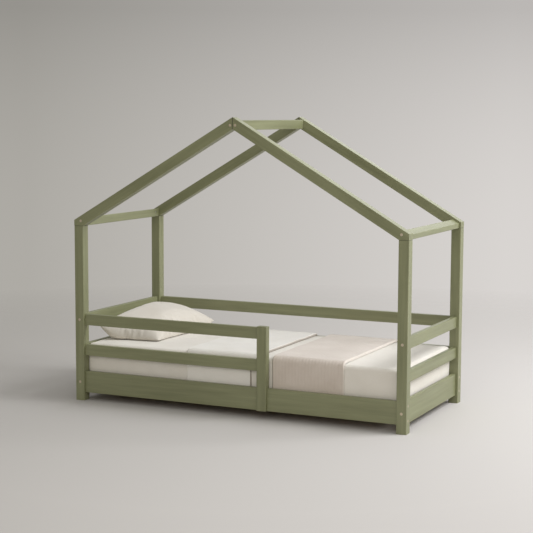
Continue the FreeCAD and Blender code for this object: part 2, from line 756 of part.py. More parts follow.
def fasten_base(kit, boards, ledges, slats, guard_post):
    """Screws hold the ledges to the side boards, the end slats to the ledges and the guard
    post's tongue to the board."""
    for side, y_side in SIDES.items():
        face = side_y(y_side, f"({BOARD_FACE} + ledge_width)")
        reach = "(frame_length / 2 - post_width - ledge_screw_end)"
        for index in range(LEDGE_SCREW_COUNT):
            x = f"({reach} * {2 * index / (LEDGE_SCREW_COUNT - 1) - 1})"
            where = (x, face, "(ledge_bottom + ledge_height / 2)")
            pair = (ledges[side], boards[side])
            screw_joint(kit, "screw", "ledge_screws", *pair, where, Y * y_side, "screw_length")
        for index in (0, SLAT_COUNT - 1):
            y = side_y(y_side, f"({BOARD_FACE} + ledge_width / 2)")
            where = (slat_x(index), y, f"({SLAT_BOTTOM} + slat_thickness)")
            pair = (slats[index], ledges[side])
            screw_joint(kit, "screw", "slat_screws", *pair, where, -Z, "screw_length")
    for up in (-1, 1):
        z = f"({BOARD_MIDDLE} + {up} * guard_screw_spread)"
        where = ("guard_post_place", side_y(-1, BOARD_FACE), z)
        pair = (boards["front"], guard_post)
        length = "guard_screw_length"
        screw_joint(kit, "guard_screw", "guard_post_screws", *pair, where, -Y, length)


# ---------------------------------------------------------------- the bedding


def soft_block(label, corner, size, upright_radius, edge_radius):
    """A padded block: its upright corners are rounded first, then its top and bottom edges."""
    piece = Piece(label, corner).block("Z", *size)
    piece.round_edges(upright_radius, runs_along(Z), "corners")
    box = piece.body.Tip.Shape.BoundBox

    def top_or_bottom(edge):
        z = edge.CenterOfMass.z
        return edge.BoundBox.ZLength < 0.01 and min(z - box.ZMin, box.ZMax - z) < 0.01

    return piece.round_edges(edge_radius, top_or_bottom, "edges")


def make_mattress():
    """The mattress in its fitted sheet."""
    corner = (f"(-{MATTRESS_LENGTH} / 2)", f"(-{MATTRESS_WIDTH} / 2)", MATTRESS_BOTTOM)
    size = (MATTRESS_LENGTH, MATTRESS_WIDTH, "mattress_height")
    soft_block("mattress", corner, size, MATTRESS_CORNER, "mattress_edge")


def make_draped(label, start, end):
    """A cover laid across the mattress and tucked down between it and the boards."""
    inner = f"({MATTRESS_WIDTH} + 2 * rest_gap)"
    outer = f"({inner} + 2 * cover_side)"
    bottom = f"({MATTRESS_BOTTOM} + cover_hem)"
    under = f"({MATTRESS_TOP} + rest_gap)"
    length = f"({end} - {start})"
    tall = f"({under} + cover_top - {bottom})"
    piece = Piece(label, (start, f"(-{outer} / 2)", bottom))
    piece.block("X", length, outer, tall)
    hollow = [
        ("cover_side", "0"),
        (f"cover_side + {inner}", "0"),
        (f"cover_side + {inner}", f"{under} - {bottom}"),
        ("cover_side", f"{under} - {bottom}"),
    ]
    piece.cut_outline("X", hollow, length)
    top = piece.body.Tip.Shape.BoundBox.ZMax
    ceiling = top - SIZES["cover_top"][0]

    def outer_corner(edge):
        return runs_along(X)(edge) and abs(edge.CenterOfMass.z - top) < 0.01

    def inner_corner(edge):
        return runs_along(X)(edge) and abs(edge.CenterOfMass.z - ceiling) < 0.01

    piece.round_edges("cover_edge", outer_corner, "outer_corners")
    piece.round_edges("mattress_edge", inner_corner, "inner_corners")


def make_pillow():
    """The pillow, which lies across the head end."""
    x = f"({BOARD_FACE} + pillow_clearance - frame_length / 2)"
    spare = f"({MATTRESS_WIDTH} - pillow_length)"
    y = f"({MATTRESS_WIDTH} / 2 - {spare} * pillow_back_share - pillow_length)"
    corner = (x, y, f"({MATTRESS_TOP} + rest_gap)")
    size = ("pillow_width", "pillow_length", "pillow_height")
    soft_block("pillow", corner, size, "pillow_corner", "pillow_edge")


# ---------------------------------------------------------------- the whole bed


def faults():
    """Every object that failed, and every node whose shape is missing or not valid."""
    found = []
    for thing in doc.Objects:
        if "Invalid" in thing.State or "Error" in thing.State:
            found.append(f"{thing.Label}: {thing.State}")
    for node in nodes:
        shape = node.Shape
        if shape.isNull() or not shape.isValid() or not shape.Solids:
            found.append(f"{node.Label}: no valid solid")
            continue
        expected = len(node.Links) if node.TypeId == "Part::Compound" else 1
        if len(shape.Solids) != expected:
            found.append(f"{node.Label}: {len(shape.Solids)} solids, not {expected}")
    return found


def main():
    make_sheet()
    posts = make_posts()
    rafters = make_rafters()
    ridge_beam = make_ridge_beam()
    eaves_beams = make_eaves_beams()
    end_timbers = make_end_timbers()
    side_boards = make_side_boards()
    long_rails = make_long_rails()
    guard_post = make_guard_post()
    ledges = make_ledges()
    slats = make_slats()
    make_tapes()
    kit = {
        "bolt": draw_bolt(),
        "nut": draw_nut(),
        "dowel": draw_dowel(),
        "screw": draw_screw("one_screw", "screw_length"),
        "guard_screw": draw_screw("one_guard_screw", "guard_screw_length"),
    }
    fasten_ends(kit, posts, end_timbers)
    fasten_sides(kit, posts, side_boards, long_rails, guard_post)
    fasten_roof(kit, posts, rafters, ridge_beam, eaves_beams)
    fasten_base(kit, side_boards, ledges, slats, guard_post)
    for fastener in kit.values():
        fastener.finish()
    make_mattress()
    make_draped("bedcover", "cover_start", "cover_end")
    make_draped("throw", "throw_start", "throw_end")
    make_pillow()
    doc.recompute()
    found = faults()
    if found:
        raise RuntimeError("\n".join(found))
    os.makedirs("parts", exist_ok=True)
    for node in nodes:
        node.Shape.exportStep(f"parts/{node.Label}.step")
    whole = Part.makeCompound([node.Shape for node in nodes])
    print(f"{len(nodes)} nodes, {len(whole.Solids)} solids, box {whole.BoundBox}")


main()
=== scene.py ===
# %% [markdown]
# # A house-frame toddler bed
# The bed is a low slatted frame of square painted timber with a roof outline above it. A mattress in
# a fitted sheet lies in it, with a white bedcover and a ribbed throw folded across it and one pillow
# at the head end. The timber, the slats and the fasteners come from the CAD model, which is loaded
# first and stays as it is. This lesson gives that timber its finish, and makes the bedding anew,
# because cloth needs softer shapes than CAD solids have.

# %% Load the bed
import math

import bpy
import numpy as np
from mathutils import Matrix, Vector


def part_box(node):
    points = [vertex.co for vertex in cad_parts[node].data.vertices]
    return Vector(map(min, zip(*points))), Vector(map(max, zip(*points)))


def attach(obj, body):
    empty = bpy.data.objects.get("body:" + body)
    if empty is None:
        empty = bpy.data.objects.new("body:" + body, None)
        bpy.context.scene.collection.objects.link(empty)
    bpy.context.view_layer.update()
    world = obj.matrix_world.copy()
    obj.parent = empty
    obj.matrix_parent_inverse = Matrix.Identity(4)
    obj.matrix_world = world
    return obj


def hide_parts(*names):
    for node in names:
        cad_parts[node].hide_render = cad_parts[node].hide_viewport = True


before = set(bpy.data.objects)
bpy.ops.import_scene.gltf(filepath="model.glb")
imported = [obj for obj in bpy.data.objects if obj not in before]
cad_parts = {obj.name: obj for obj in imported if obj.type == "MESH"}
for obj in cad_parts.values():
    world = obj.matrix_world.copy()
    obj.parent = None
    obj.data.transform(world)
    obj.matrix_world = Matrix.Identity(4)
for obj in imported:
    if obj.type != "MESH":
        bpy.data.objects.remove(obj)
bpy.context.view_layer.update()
MM = 0.001

# %% [markdown]
# ## Where things are
# Every place below is read from the CAD nodes, so the bedding fits the bed whatever its size. The
# head end of the bed is at -X, and the open front is at -Y.

# %% Read the places from the frame
mattress_low, mattress_high = (np.array(corner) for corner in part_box("mattress"))
cover_low, cover_high = (np.array(corner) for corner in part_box("bedcover"))
throw_low, throw_high = (np.array(corner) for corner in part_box("throw"))
pillow_low, pillow_high = (np.array(corner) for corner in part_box("pillow"))
MATTRESS_CORNER = 20 * MM
MATTRESS_EDGE = 24 * MM
COVER_EDGE = 28 * MM
REST_GAP = 0.3 * MM
print("mattress:", mattress_low, mattress_high)

# %% [markdown]
# ## The camera
# A long lens from a few metres away, a little above the roof's height, keeps the timbers nearly
# parallel. It stands in front of the foot end, so the front and the foot of the bed both show. The
# camera's frame is written as three directions: where it looks, what is to its right, and up.

# %% Make the camera
CAMERA_PLACE = (2.793, -5.961, 1.382)
CAMERA_LENS = 93.8
CAMERA_YAW, CAMERA_PITCH, CAMERA_ROLL = (math.radians(angle) for angle in (25.20, 6.34, 0.245))


def aim_camera(place, yaw, pitch, roll):
    """The camera's placement when it is turned left by yaw and down by pitch, then rolled."""
    forward = np.array([-math.sin(yaw) * math.cos(pitch), math.cos(yaw) * math.cos(pitch), -math.sin(pitch)])
    level = np.array([math.cos(yaw), math.sin(yaw), 0])
    upright = np.cross(level, forward)
    right = level * math.cos(roll) + upright * math.sin(roll)
    up = upright * math.cos(roll) - level * math.sin(roll)
    placement = Matrix(np.column_stack([right, up, -forward]).tolist()).to_4x4()
    placement.translation = place
    return placement


camera_data = bpy.data.cameras.new("camera")
camera_data.lens = CAMERA_LENS
camera_data.sensor_width = 36
camera_data.clip_end = 100
camera = bpy.data.objects.new("camera", camera_data)
bpy.context.collection.objects.link(camera)
camera.matrix_world = aim_camera(CAMERA_PLACE, CAMERA_YAW, CAMERA_PITCH, CAMERA_ROLL)
bpy.context.scene.camera = camera
print("camera looks along", camera.matrix_world.col[2][:3])

# %% [markdown]
# ## Building materials from nodes
# Each finish is a small network of nodes. One helper adds a node and fills its sockets: a number is
# set on the socket, and another node's output is linked to it.


# %% A helper that adds nodes
def add_node(tree, kind, inputs=None, **settings):
    """Add a node. inputs holds what goes into each socket, and settings are the node's own."""
    node = tree.nodes.new(kind)
    for name, value in settings.items():
        setattr(node, name, value)
    for name, value in (inputs or {}).items():
        if isinstance(value, bpy.types.NodeSocket):
            tree.links.new(value, node.inputs[name])
        else:
            node.inputs[name].default_value = value
    return node


def calculate(tree, operation, *values):
    """A Math node's result."""
    return add_node(tree, "ShaderNodeMath", dict(enumerate(values)), operation=operation).outputs[0]


def noise(tree, place, scale, detail=3.0, roughness=0.5):
    """A noise texture's grey value, about 0.5 on average."""
    inputs = {"Vector": place, "Scale": scale, "Detail": detail, "Roughness": roughness}
    return add_node(tree, "ShaderNodeTexNoise", inputs).outputs["Fac"]


def blend_colours(tree, share, first, second):
    """The first colour where share is 0, and the second where it is 1."""
    first, second = (part if isinstance(part, bpy.types.NodeSocket) else (*part, 1) for part in (first, second))
    inputs = {"Factor": share, "A": first, "B": second}
    mix = tree.nodes.new("ShaderNodeMix")
    mix.data_type = "RGBA"
    for socket in mix.inputs:
        if socket.enabled and socket.name in inputs:
            value = inputs[socket.name]
            if isinstance(value, bpy.types.NodeSocket):
                tree.links.new(value, socket)
            else:
                socket.default_value = value
    return next(socket for socket in mix.outputs if socket.enabled)


def stretch(tree, value, low, high, to_low=0.0, to_high=1.0):
    """A value moved from one range to another, and held within it."""
    inputs = {"Value": value, "From Min": low, "From Max": high, "To Min": to_low, "To Max": to_high}
    return add_node(tree, "ShaderNodeMapRange", inputs).outputs["Result"]


def new_material(name):
    """A material, its node tree and its shader."""
    material = bpy.data.materials.new(name)
    material.use_nodes = True
    return material, material.node_tree, material.node_tree.nodes["Principled BSDF"]


print("node helpers ready")

# %% [markdown]
# ## Painted timber
# The frame is planed softwood under a satin sage-green paint. Paint hides the wood's colour but not
# its grain: faint raised lines run along every piece, and the brush leaves finer ones. A texture in
# the bed's own coordinates would run the same way on every timber, so there is one material for each
# direction that the timber lies in. Each turns the coordinates until the piece's length is X, then
# stretches them, so that noise becomes long streaks.

# %% Coordinates along a timber
ROOF_SLOPE = math.atan2(490, 840)
GRAIN_TURNS = {
    "along_bed": (0, 0, 0),
    "across_bed": (0, 0, -math.pi / 2),
    "upright": (0, math.pi / 2, 0),
    "head_slope": (0, ROOF_SLOPE, 0),
    "foot_slope": (0, -ROOF_SLOPE, 0),
}


def grain_place(tree, direction, across_scale):
    """Coordinates whose X is the timber's length, and whose Y and Z are scaled up across it."""
    place = add_node(tree, "ShaderNodeTexCoord").outputs["Object"]
    turned = add_node(tree, "ShaderNodeMapping", {"Vector": place, "Rotation": GRAIN_TURNS[direction]})
    scale = (1, across_scale, across_scale)
    return add_node(tree, "ShaderNodeMapping", {"Vector": turned.outputs[0], "Scale": scale}).outputs[0]


# %% The paint
PAINT_DARK = (0.168, 0.176, 0.086)
PAINT_LIGHT = (0.268, 0.278, 0.152)
# Painted shade: a dark line where a post meets its rafter, and where the rafters meet at the apex, stands in for the
# shade in the joint's gap.
JOINT_SHADE = (0.050, 0.052, 0.026)
JOINT_LINE = 2.2 * MM
POST_TOP = float(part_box("post_front_foot")[1][2])
JOINTS = {"upright": ("Z", POST_TOP), "head_slope": ("X", 0.0), "foot_slope": ("X", 0.0)}


def joint_shade_share(tree, direction):
    """Painted shade: 1 in the line where a post meets its rafter or two rafters meet, 0 elsewhere."""
    axis, at = JOINTS[direction]
    place = add_node(tree, "ShaderNodeTexCoord").outputs["Object"]
    along = add_node(tree, "ShaderNodeSeparateXYZ", {"Vector": place}).outputs[axis]
    away = calculate(tree, "ABSOLUTE", calculate(tree, "SUBTRACT", along, at))
    return stretch(tree, away, JOINT_LINE, JOINT_LINE / 2)


def painted_timber(direction):
    """Satin paint over softwood whose grain runs in one direction."""
    material, tree, shader = new_material(f"sage_paint_{direction}")
    grain = noise(tree, grain_place(tree, direction, 22), 2.4, 5.0, 0.6)
    brush = noise(tree, grain_place(tree, direction, 60), 9.0, 4.0, 0.65)
    patches = noise(tree, grain_place(tree, direction, 3), 1.7, 2.0)
    streaks = calculate(tree, "ADD", calculate(tree, "MULTIPLY", grain, 0.55), calculate(tree, "MULTIPLY", brush, 0.25))
    tone = calculate(tree, "ADD", streaks, calculate(tree, "MULTIPLY", patches, 0.35))
    share = stretch(tree, tone, 0.40, 0.75)
    colour = blend_colours(tree, share, PAINT_DARK, PAINT_LIGHT)
    # Painted shade in the joints, darker than the paint.
    if direction in JOINTS:
        colour = blend_colours(tree, joint_shade_share(tree, direction), colour, JOINT_SHADE)
    tree.links.new(colour, shader.inputs["Base Color"])
    tree.links.new(stretch(tree, patches, 0.3, 0.7, 0.36, 0.46), shader.inputs["Roughness"])
    ridges = noise(tree, grain_place(tree, direction, 16), 2.0, 1.5)
    bump = add_node(tree, "ShaderNodeBump", {"Strength": 0.10, "Distance": 0.6 * MM, "Height": ridges})
    tree.links.new(bump.outputs["Normal"], shader.inputs["Normal"])
    shader.inputs["Specular IOR Level"].default_value = 0.72
    return material


paint = {direction: painted_timber(direction) for direction in GRAIN_TURNS}


def timber_direction(node):
    """The direction of a painted timber's grain, from its name."""
    if node.startswith("rafter"):
        return "head_slope" if node.endswith("head") else "foot_slope"
    if node.startswith(("post_", "guard_post")):
        return "upright"
    if node.startswith(("ridge_", "eaves_", "head_", "foot_")):
        return "across_bed"
    return "along_bed"


def give_finish(node, material):
    """Put a material in every slot of a CAD node."""
    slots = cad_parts[node].material_slots
    for slot in slots:
        slot.material = material


FASTENERS = ("_bolts", "_nuts", "_dowels", "_screws")
painted = [
    node
    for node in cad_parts
    if node.startswith(("post_", "rafter_", "ridge_", "eaves_", "head_", "foot_", "side_board", "back_", "guard_"))
    and not node.endswith(FASTENERS)
]
for node in painted:
    give_finish(node, paint[timber_direction(node)])
print(len(painted), "painted timbers")

# %% [markdown]
# ## Bare pine
# The slats and the ledges that carry them are sawn and planed but not painted. Softwood shows pale
# early wood and darker late wood in long bands, which a wave texture makes when noise bends it.


# %% The slats and ledges
def bare_timber(name, direction, light, dark):
    """Planed wood with bands of growth rings along its length."""
    material, tree, shader = new_material(name)
    place = grain_place(tree, direction, 9)
    rings = add_node(
        tree,
        "ShaderNodeTexWave",
        {"Vector": place, "Scale": 1.6, "Distortion": 7.0, "Detail": 3.0, "Detail Scale": 0.9},
        wave_type="BANDS",
        bands_direction="Y",
    ).outputs["Fac"]
    fibres = noise(tree, grain_place(tree, direction, 70), 5.0, 4.0, 0.6)
    share = calculate(tree, "ADD", calculate(tree, "MULTIPLY", rings, 0.6), calculate(tree, "MULTIPLY", fibres, 0.5))
    tree.links.new(blend_colours(tree, share, light, dark), shader.inputs["Base Color"])
    tree.links.new(stretch(tree, fibres, 0.3, 0.7, 0.5, 0.7), shader.inputs["Roughness"])
    bump = add_node(tree, "ShaderNodeBump", {"Strength": 0.3, "Distance": 0.5 * MM, "Height": fibres})
    tree.links.new(bump.outputs["Normal"], shader.inputs["Normal"])
    return material


slat_pine = bare_timber("pine_slats", "across_bed", (0.66, 0.48, 0.29), (0.45, 0.27, 0.13))
ledge_pine = bare_timber("pine_ledges", "along_bed", (0.66, 0.48, 0.29), (0.45, 0.27, 0.13))
beech = bare_timber("beech_dowels", "across_bed", (0.55, 0.38, 0.24), (0.43, 0.27, 0.16))
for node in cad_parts:
    if node.startswith("slat_ledge"):
        give_finish(node, ledge_pine)
    elif node.startswith("slat_") and node[5:].isdigit():
        give_finish(node, slat_pine)
    elif node.endswith("_dowels"):
        give_finish(node, beech)
print("slats, ledges and dowels have their wood")

# %% [markdown]
# ## Metal and webbing
# The bolts that show are finished in a satin bronze. The barrel nuts and screws inside are plain
# zinc. Turned and plated metal is never even: fine noise varies how rough it is. The two tapes under
# the slats are woven, and two crossed sets of waves make the weave.


# %% The fasteners
def plated_metal(name, colour, low, high):
    """Metal with a fine variation in its roughness and tone."""
    material, tree, shader = new_material(name)
    place = add_node(tree, "ShaderNodeTexCoord").outputs["Object"]
    grain = noise(tree, place, 900.0, 3.0)
    darker = tuple(part * 0.8 for part in colour)
    tree.links.new(blend_colours(tree, grain, darker, colour), shader.inputs["Base Color"])
    tree.links.new(stretch(tree, grain, 0.3, 0.7, low, high), shader.inputs["Roughness"])
    shader.inputs["Metallic"].default_value = 0.75
    return material


bronze = plated_metal("satin_bronze", (0.72, 0.63, 0.49), 0.40, 0.54)
zinc = plated_metal("bright_zinc", (0.60, 0.61, 0.63), 0.25, 0.42)
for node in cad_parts:
    if node.endswith("_bolts"):
        give_finish(node, bronze)
    elif node.endswith(("_nuts", "_screws")):
        give_finish(node, zinc)


# %% The webbing tapes
def woven_bands(tree, place, direction, pitch):
    """Grey bands across one axis, one for each thread."""
    inputs = {"Vector": place, "Scale": 1 / (pitch * 20) * math.pi}
    node = add_node(tree, "ShaderNodeTexWave", inputs, wave_type="BANDS", bands_direction=direction)
    return node.outputs["Fac"]


def webbing():
    """Plain woven tape, off-white."""
    material, tree, shader = new_material("webbing_tape")
    place = add_node(tree, "ShaderNodeTexCoord").outputs["Object"]
    weave = calculate(
        tree, "MULTIPLY", woven_bands(tree, place, "X", 1.6 * MM), woven_bands(tree, place, "Y", 2.4 * MM)
    )
    colour = blend_colours(tree, weave, (0.42, 0.40, 0.35), (0.66, 0.63, 0.56))
    tree.links.new(colour, shader.inputs["Base Color"])
    bump = add_node(tree, "ShaderNodeBump", {"Strength": 0.5, "Distance": 0.4 * MM, "Height": weave})
    tree.links.new(bump.outputs["Normal"], shader.inputs["Normal"])
    shader.inputs["Roughness"].default_value = 0.85
    return material


tape = webbing()
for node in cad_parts:
    if node.startswith("slat_tape"):
        give_finish(node, tape)
print("metal and webbing done")


# %% [markdown]
# ## Cloth finishes
# All four cloths are matt cotton, so the shader needs little gloss, some sheen at grazing angles and
# a soft unevenness of tone. The thread is finer than a millimetre: crossed waves give it as bump.
# The throw's ribs are far larger, so they are real shape and come later.


# %% A cotton material
# Painted shadow: a dark line along the edges of the cover and the throw, under the edge's thickness.
PAINTED_EDGE_SHADOW = (0.23, 0.185, 0.140)
HEM_BEAD = (0.86, 0.82, 0.76)
HEM_WIDTH = 2.0 * MM
HANGING_WIDTH = 5.0 * MM
BEAD_WIDTH = 6.5 * MM
HANG_DEPTH = 45 * MM
COVER_DRAW_IN = 34 * MM


def add_hems(tree, place, cloth, drawn_in_edge, plain_edge, draw_in=0.0):
    """A pale bead and a thin dark line of painted shadow along two edges across the bed. Where the cloth
    hangs, the drawn-in edge's painted shadow is broad and dark, and that edge is drawn in there by draw_in."""
    parts = add_node(tree, "ShaderNodeSeparateXYZ", {"Vector": place})
    mattress_top = float(mattress_high[2])
    drawn = stretch(tree, parts.outputs["Z"], mattress_top, mattress_top - HANG_DEPTH, 0.0, draw_in)
    places = {drawn_in_edge: calculate(tree, "ADD", parts.outputs["X"], drawn), plain_edge: parts.outputs["X"]}
    facing = add_node(tree, "ShaderNodeNewGeometry").outputs["Normal"]
    upward = add_node(tree, "ShaderNodeSeparateXYZ", {"Vector": facing}).outputs["Z"]
    # The painted shadow is broader and darker on faces that hang down than on the top.
    widths = {drawn_in_edge: stretch(tree, upward, 0.2, 0.9, HANGING_WIDTH, HEM_WIDTH), plain_edge: HEM_WIDTH}
    strengths = {drawn_in_edge: stretch(tree, upward, 0.2, 0.9, 0.8, 0.25), plain_edge: 0.2}
    for edge in (drawn_in_edge, plain_edge):
        away = calculate(tree, "ABSOLUTE", calculate(tree, "SUBTRACT", places[edge], edge))
        cloth = blend_colours(tree, stretch(tree, away, BEAD_WIDTH, HEM_WIDTH, 0.0, 0.5), cloth, HEM_BEAD)
        in_edge_shadow = calculate(tree, "LESS_THAN", away, widths[edge])
        cloth = blend_colours(tree, calculate(tree, "MULTIPLY", in_edge_shadow, strengths[edge]), cloth, PAINTED_EDGE_SHADOW)
    return cloth


def cotton(name, colour, shade, thread, crinkle, sheen=0.25, hems=None):
    """Matt cotton. shade is its darker tone, thread the pitch of its weave, crinkle its softness
    and hems the places along the bed of its drawn-in edge and its plain edge."""
    material, tree, shader = new_material(name)
    place = add_node(tree, "ShaderNodeTexCoord").outputs["Object"]
    weave = calculate(
        tree, "MULTIPLY", woven_bands(tree, place, "X", thread), woven_bands(tree, place, "Y", thread)
    )
    clouds = noise(tree, place, 7.0, 4.0, 0.6)
    slubs = noise(tree, place, 260.0, 2.0)
    tone = calculate(tree, "ADD", calculate(tree, "MULTIPLY", clouds, 0.7), calculate(tree, "MULTIPLY", slubs, 0.3))
    share = stretch(tree, tone, 0.35, 0.65)
    cloth = blend_colours(tree, share, shade, colour)
    if hems:
        cloth = add_hems(tree, place, cloth, *hems)
    tree.links.new(cloth, shader.inputs["Base Color"])
    tree.links.new(stretch(tree, slubs, 0.3, 0.7, 0.78, 0.92), shader.inputs["Roughness"])
    folds = noise(tree, place, 45.0, 3.0, 0.55)
    height = calculate(tree, "ADD", calculate(tree, "MULTIPLY", folds, crinkle), calculate(tree, "MULTIPLY", weave, 0.08))
    bump = add_node(tree, "ShaderNodeBump", {"Strength": 0.3, "Distance": 2 * MM, "Height": height})
    tree.links.new(bump.outputs["Normal"], shader.inputs["Normal"])
    shader.inputs["Sheen Weight"].default_value = sheen
    shader.inputs["Sheen Roughness"].default_value = 0.5
    shader.inputs["Specular IOR Level"].default_value = 0.25
    return material


cover_edges = (float(cover_high[0]), float(cover_low[0]), COVER_DRAW_IN)
throw_edges = (float(throw_low[0]), float(throw_high[0]))
sheet_cotton = cotton("fitted_sheet_cotton", (0.790, 0.757, 0.695), (0.747, 0.708, 0.637), 0.6 * MM, 0.5)
cover_cotton = cotton("bedcover_cotton", (0.815, 0.792, 0.742), (0.772, 0.744, 0.687), 0.8 * MM, 0.8, hems=cover_edges)
throw_cotton = cotton("throw_cotton", (0.665, 0.595, 0.530), (0.578, 0.505, 0.438), 1.2 * MM, 0.4, 0.5, throw_edges)
pillow_cotton = cotton("pillow_cotton", (0.660, 0.622, 0.556), (0.615, 0.572, 0.498), 0.6 * MM, 0.6)
print("cloth finishes done")

# %% [markdown]
# ## Soft unevenness
# Cloth that has been smoothed by hand still has long shallow waves in it. Adding up a few sine waves
# with different directions and lengths gives such a surface by formula, so it is the same each time
# the lesson runs.


# %% Waves and meshes
def waves(first, second, lengths, seed, height=1.0):
    """A sum of sine waves over two coordinates. lengths are the wavelengths in metres."""
    chance = np.random.default_rng(seed)
    total = np.zeros(np.broadcast(first, second).shape)
    for length in lengths:
        angle, phase = chance.uniform(0, 2 * math.pi, 2)
        along = first * math.cos(angle) + second * math.sin(angle)
        total = total + np.sin(2 * math.pi * along / length + phase) / len(lengths)
    return height * total


def make_piece(name, points, faces, material):
    """A mesh object, smooth shaded, with its material."""
    mesh = bpy.data.meshes.new(name)
    mesh.from_pydata(np.asarray(points).reshape(-1, 3).tolist(), [], np.asarray(faces).tolist())
    mesh.polygons.foreach_set("use_smooth", [True] * len(mesh.polygons))
    mesh.update()
    mesh.materials.append(material)
    piece = bpy.data.objects.new(name, mesh)
    bpy.context.collection.objects.link(piece)
    print(name, len(points), "points")
    return piece


def normals_of(piece):
    """The direction of the surface at each point of a mesh."""
    mesh = piece.data
    values = np.empty(len(mesh.vertices) * 3)
    mesh.vertex_normals.foreach_get("vector", values)
    return values.reshape(-1, 3)


def points_of(piece):
    values = np.empty(len(piece.data.vertices) * 3)
    piece.data.vertices.foreach_get("co", values)
    return values.reshape(-1, 3)


def move_points(piece, points):
    piece.data.vertices.foreach_set("co", np.asarray(points).ravel())
    piece.data.update()


# %% [markdown]
# ## The mattress in its fitted sheet
# A fitted sheet is pulled tight over foam, so the shape is a box with rounded corners, a little
# crowned on top and a little slack along the sides. A grid over the box's skin is folded round the
# corners by formula: a square ring of points becomes a quarter circle. Corner darts and pull lines
# are then pressed into the skin along its normals.


# %% The skin of a box
def skin_of_box(xs, ys, zs):
    """Points and faces over the outside of a box, at the given steps along each axis."""
    counts = (len(xs), len(ys), len(zs))
    corner = np.stack(np.meshgrid(xs, ys, zs, indexing="ij"), axis=-1)
    outside = np.zeros(counts, bool)
    for axis in range(3):
        for end in (0, -1):
            outside[tuple(end if i == axis else slice(None) for i in range(3))] = True
    number = np.full(counts, -1)
    number[outside] = np.arange(outside.sum())
    faces = []
    for axis in range(3):
        for end in (0, -1):
            side = number[tuple(end if i == axis else slice(None) for i in range(3))]
            quads = np.stack([side[:-1, :-1], side[1:, :-1], side[1:, 1:], side[:-1, 1:]], axis=-1)
            quads = quads.reshape(-1, 4)
            flip = (end == 0) != (axis == 1)
            faces.append(quads[:, ::-1] if flip else quads)
    return corner[outside], np.concatenate(faces)


def round_box(points, low, high, corner, edge):
    """Fold a box's skin round upright corners and round its top and bottom edges."""
    middle = (low + high) / 2
    half = (high - low) / 2
    local = points - middle
    core = half[:2] - corner
    inner = np.clip(local[:, :2], -core, core)
    offset = local[:, :2] - inner
    square = np.abs(offset).max(axis=1)
    length = np.maximum(np.hypot(offset[:, 0], offset[:, 1]), 1e-9)
    inset = corner - square
    rise = half[2] - np.abs(local[:, 2])
    out = np.maximum(edge - inset, 0)
    up = np.maximum(edge - rise, 0)
    both = (out > 0) & (up > 0)
    fold = np.where(both, np.maximum(out, up) / np.maximum(np.hypot(out, up), 1e-9), 1)
    reach = np.where(both, corner - edge + out * fold, square)
    height = np.where(both, half[2] - edge + up * fold, np.abs(local[:, 2]))
    plan = inner + offset / length[:, None] * reach[:, None]
    return np.column_stack([plan, np.sign(local[:, 2]) * height]) + middle


def steps(low, high, fine, coarse, border):
    """Steps from low to high, fine within a border at each end and coarse between."""
    ends = np.arange(0, border, fine)
    middle = np.linspace(low + border, high - border, int((high - low - 2 * border) / coarse) + 1)
    return np.concatenate([low + ends, middle, high - ends[::-1]])


# %% Make the mattress
def dent(distance, width, depth):
    """How far a narrow valley goes down, at a distance from its line."""
    return -depth * np.exp(-((distance / width) ** 2))


def make_mattress():
    low, high = mattress_low, mattress_high
    xs = steps(low[0], high[0], 3 * MM, 9 * MM, 75 * MM)
    ys = steps(low[1], high[1], 3 * MM, 9 * MM, 75 * MM)
    zs = steps(low[2], high[2], 2.5 * MM, 6 * MM, 30 * MM)
    points, faces = skin_of_box(xs, ys, zs)
    points = round_box(points, low, high, MATTRESS_CORNER, MATTRESS_EDGE)
    piece = make_piece("mattress_in_fitted_sheet", points, faces, sheet_cotton)
    outward = normals_of(piece)
    middle = (low + high) / 2
    half = (high - low) / 2
    x, y, z = (points - middle).T
    share_x, share_y = np.abs(x) / half[0], np.abs(y) / half[1]
    top = np.clip(outward[:, 2], 0, 1) ** 2
    side = 1 - np.abs(outward[:, 2])
    crown = -2.5 * MM * (share_x ** 12 + share_y ** 4) * top
    belly = -1.6 * MM * (np.abs(z) / half[2]) ** 2 * side
    soft = waves(x, y, (0.31, 0.23, 0.17, 0.12), 3, 0.9 * MM) - 0.9 * MM
    slack = waves(x + y, z * 1.5, (0.26, 0.15, 0.09), 5, 0.8 * MM) - 0.8 * MM
    depth = crown + belly + np.where(top > 0.3, soft, slack)
    corner_x, corner_y = half[0] - np.abs(x), half[1] - np.abs(y)
    off_diagonal = (corner_x - corner_y) / math.sqrt(2)
    near_corner = np.exp(-((np.hypot(corner_x, corner_y) / (60 * MM)) ** 2))
    depth = depth + dent(off_diagonal, 2.2 * MM, 2.0 * MM) * near_corner
    pulls = np.sin(np.arctan2(corner_y, corner_x) * 14) * 1.0 * MM
    depth = depth + pulls * np.exp(-((np.hypot(corner_x, corner_y) / (110 * MM)) ** 2)) * (0.3 + 0.7 * top) - 0.4 * MM
    move_points(piece, points + outward * np.minimum(depth, -0.2 * MM)[:, None])
    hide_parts("mattress")
    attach(piece, "bedding")
    return piece


mattress = make_mattress()

# %% [markdown]
# ## Cloth laid over the mattress
# The bedcover and the throw are each folded into a band and laid across the bed, with their ends
# pushed down between the mattress and the boards. Each is one closed sheet: an inner face that
# follows the mattress and an outer face that is thicker on top, where the cloth is folded, than down
# the sides. Both faces are the same line, up the front, over and down the back, drawn with different
# sizes and swept along the bed.

# %% The line over the mattress
SIDE_STEPS, TURN_STEPS, TOP_STEPS = 26, 12, 90


